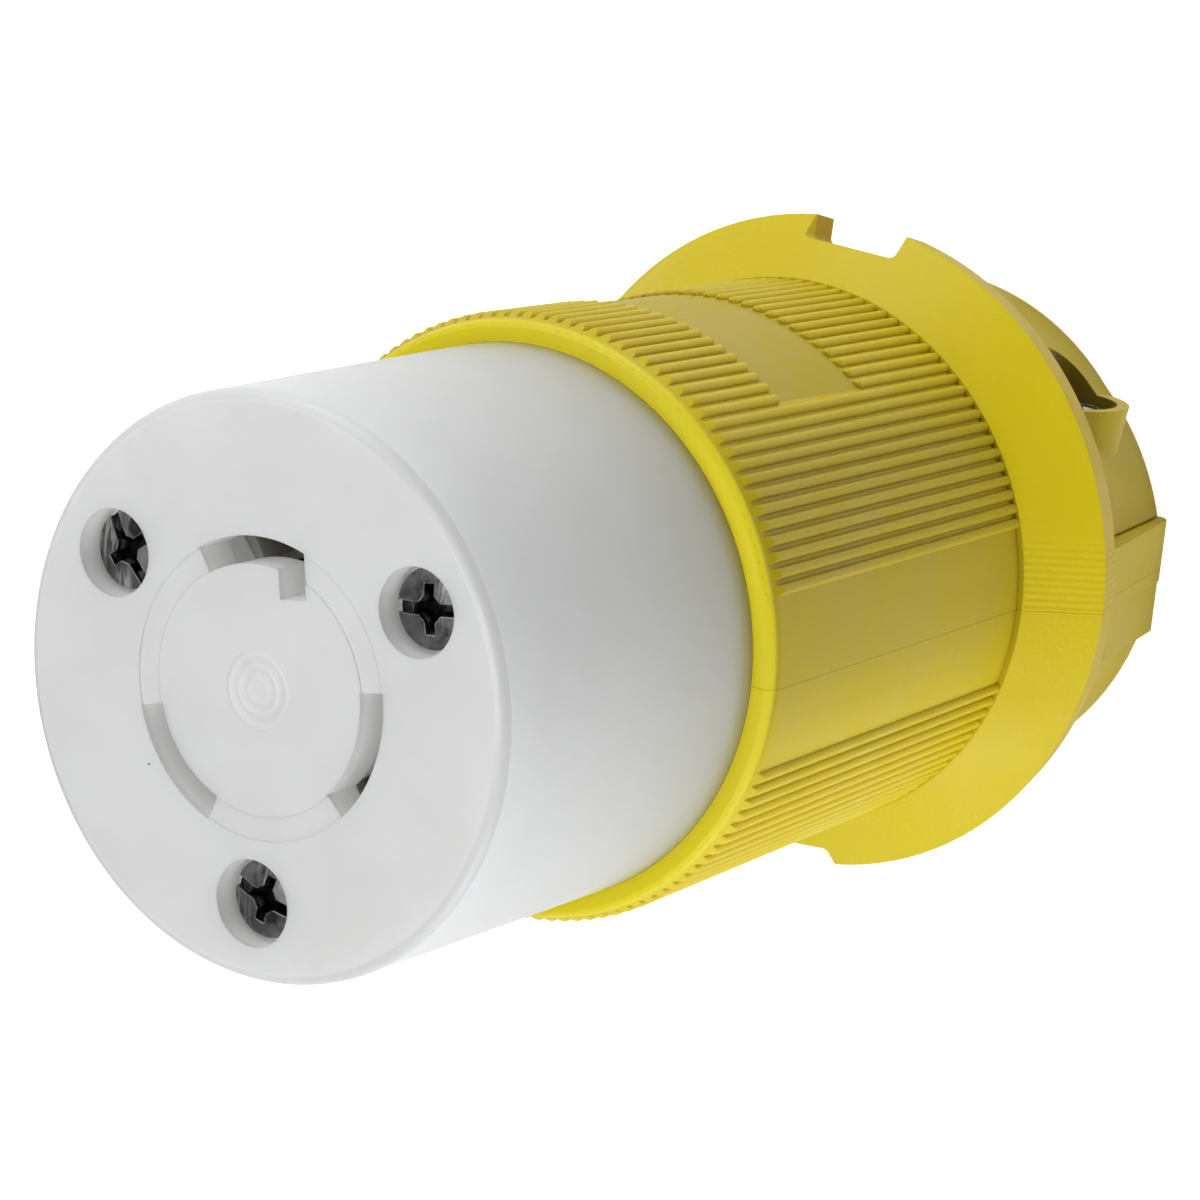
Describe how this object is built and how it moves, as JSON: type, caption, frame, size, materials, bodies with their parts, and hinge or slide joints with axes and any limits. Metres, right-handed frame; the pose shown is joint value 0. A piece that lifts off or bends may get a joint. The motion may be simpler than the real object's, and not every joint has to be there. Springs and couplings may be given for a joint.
{
  "type": "locking cord connector",
  "caption": "Locking cord connector with a white slotted outlet face, a yellow ribbed back shell with a notched flange, and a screwed cord clamp at the rear.",
  "frame": {"origin": "centre of the bounding box at the flat cord end that it stands on", "axes": "+Z along the connector's axis from the cord end up to the outlet face, +Y towards a flange notch and the clamp jaw"},
  "size_m": [0.0582, 0.0578, 0.0991],
  "materials": {
    "white_nylon": "satin moulded",
    "carrier_moulding": "moulded",
    "retainer_moulding": "moulded",
    "contact_brass": "stamped",
    "plated_steel": "plated",
    "dark_steel": "plated",
    "green_steel": "tinted plating",
    "yellow_nylon": "satin moulded"
  },
  "bodies": {
    "root": {"outlet_face": "white_nylon", "contact_carrier": "carrier_moulding", "contact_retainer": "retainer_moulding", "contact_line_a": "contact_brass", "contact_line_b": "contact_brass", "contact_ground": "contact_brass", "clamp_plate_line_a": "plated_steel", "clamp_plate_line_b": "plated_steel", "clamp_plate_ground": "plated_steel", "terminal_screw_line_a": "plated_steel", "terminal_screw_line_b": "plated_steel", "terminal_screw_ground": "green_steel", "assembly_screw_1": "dark_steel", "assembly_screw_2": "dark_steel", "assembly_screw_3": "dark_steel", "thread_insert_1": "contact_brass", "thread_insert_2": "contact_brass", "thread_insert_3": "contact_brass", "back_shell": "yellow_nylon", "clamp_jaw": "yellow_nylon", "clamp_screw_right": "plated_steel", "clamp_screw_left": "plated_steel", "clamp_nut_right": "plated_steel", "clamp_nut_left": "plated_steel"}
  },
  "joints": []
}
